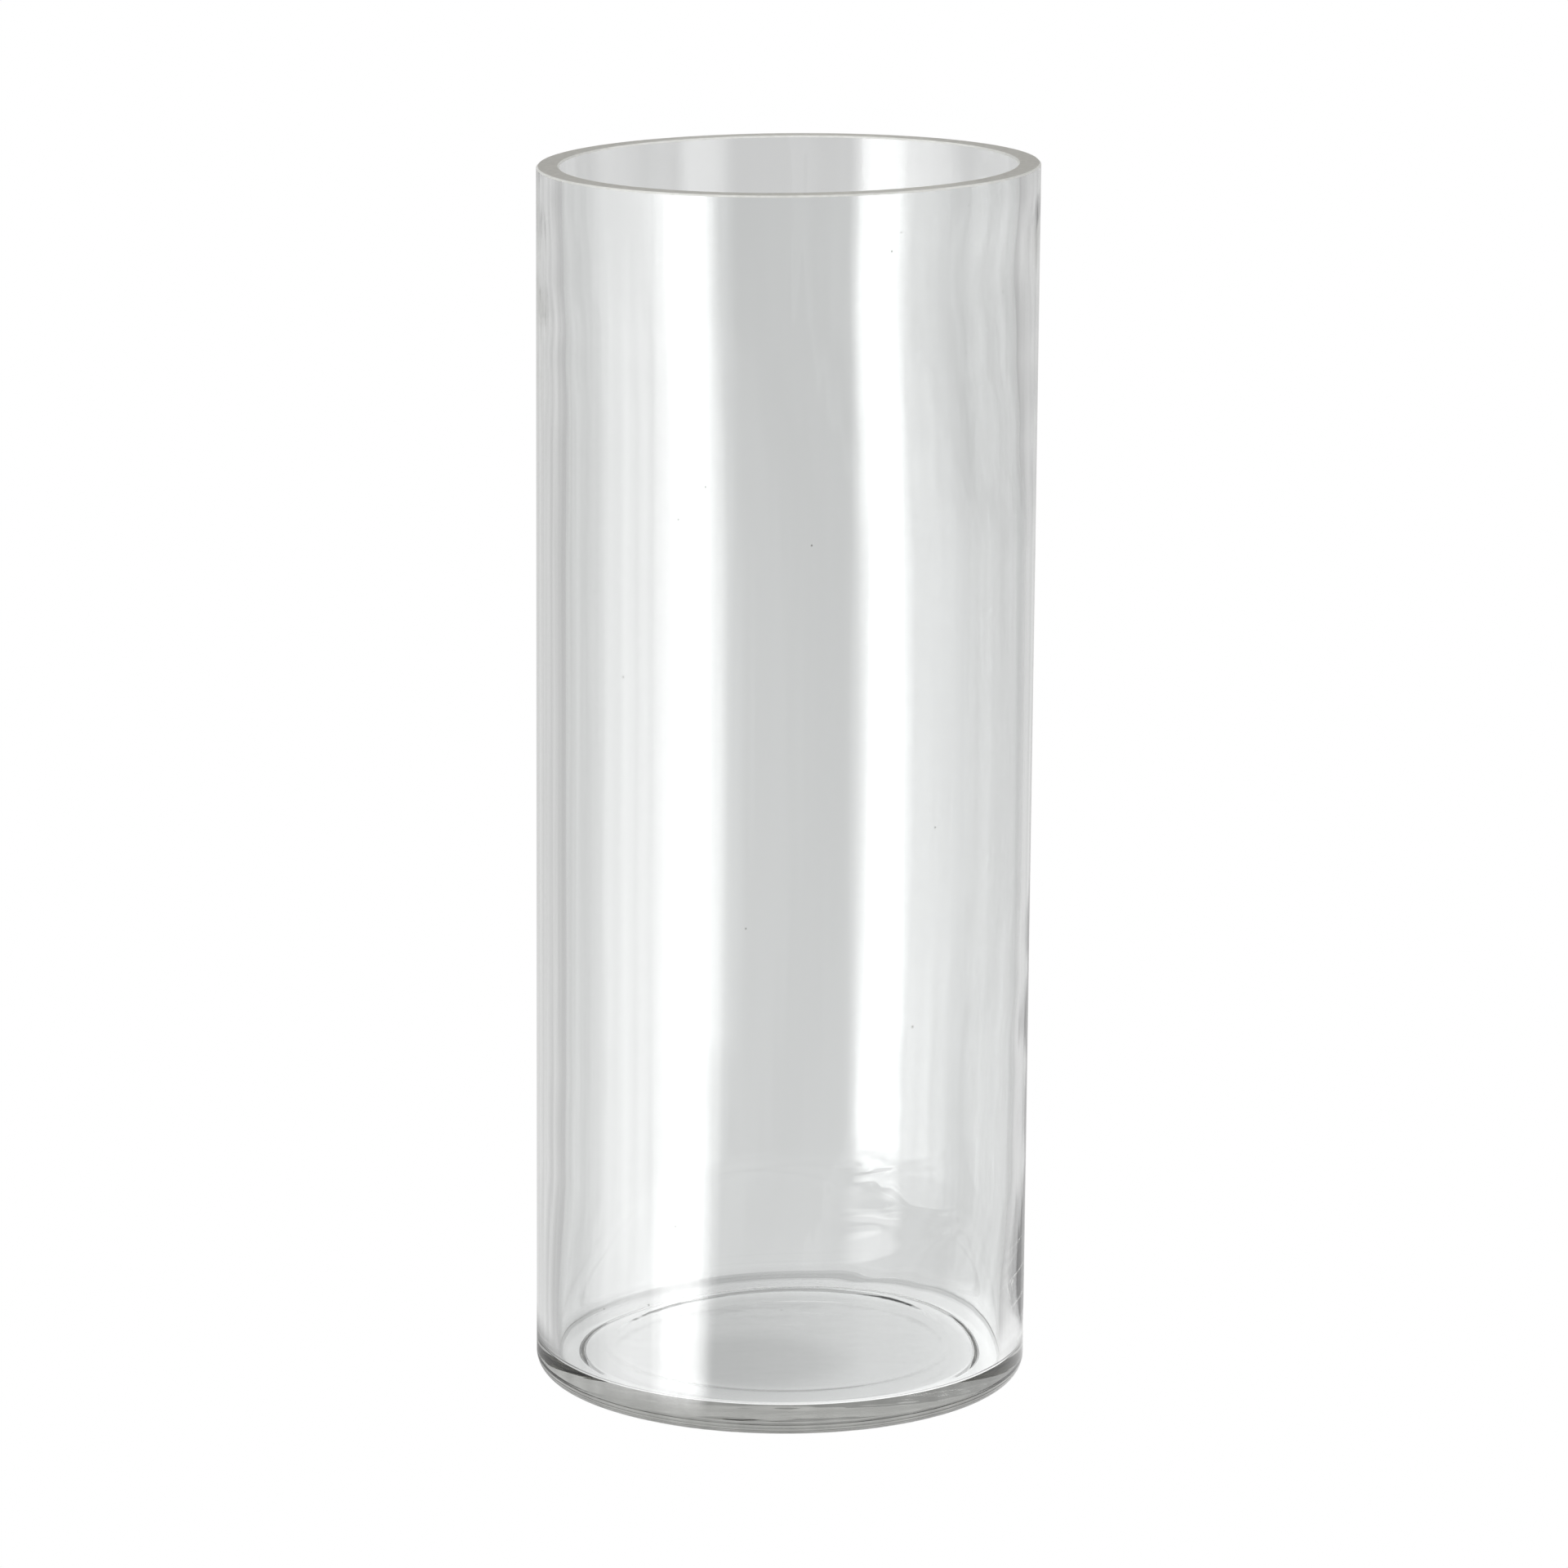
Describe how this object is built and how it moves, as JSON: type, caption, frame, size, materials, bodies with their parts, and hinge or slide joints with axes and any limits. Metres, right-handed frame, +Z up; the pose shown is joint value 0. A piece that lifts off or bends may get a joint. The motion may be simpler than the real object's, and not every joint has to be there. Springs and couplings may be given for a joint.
{
  "type": "glass cylinder vase",
  "caption": "Clear glass cylinder vase for cut flowers, straight-sided, with a ground flat rim, a thick pressed bottom and a rounded heel.",
  "frame": {"origin": "on the vase's axis, at the level of the flat ring it stands on", "axes": "+Z up along the axis, towards the open mouth; X and Y are level and interchangeable"},
  "size_m": [0.1, 0.1, 0.2487],
  "materials": {
    "vase_wall": "clear soda-lime glass, fire-polished sides and a satin ground rim",
    "vase_base": "clear soda-lime glass, fire-polished"
  },
  "bodies": {
    "root": {"vase_wall": "vase_wall", "vase_base": "vase_base"}
  },
  "joints": []
}
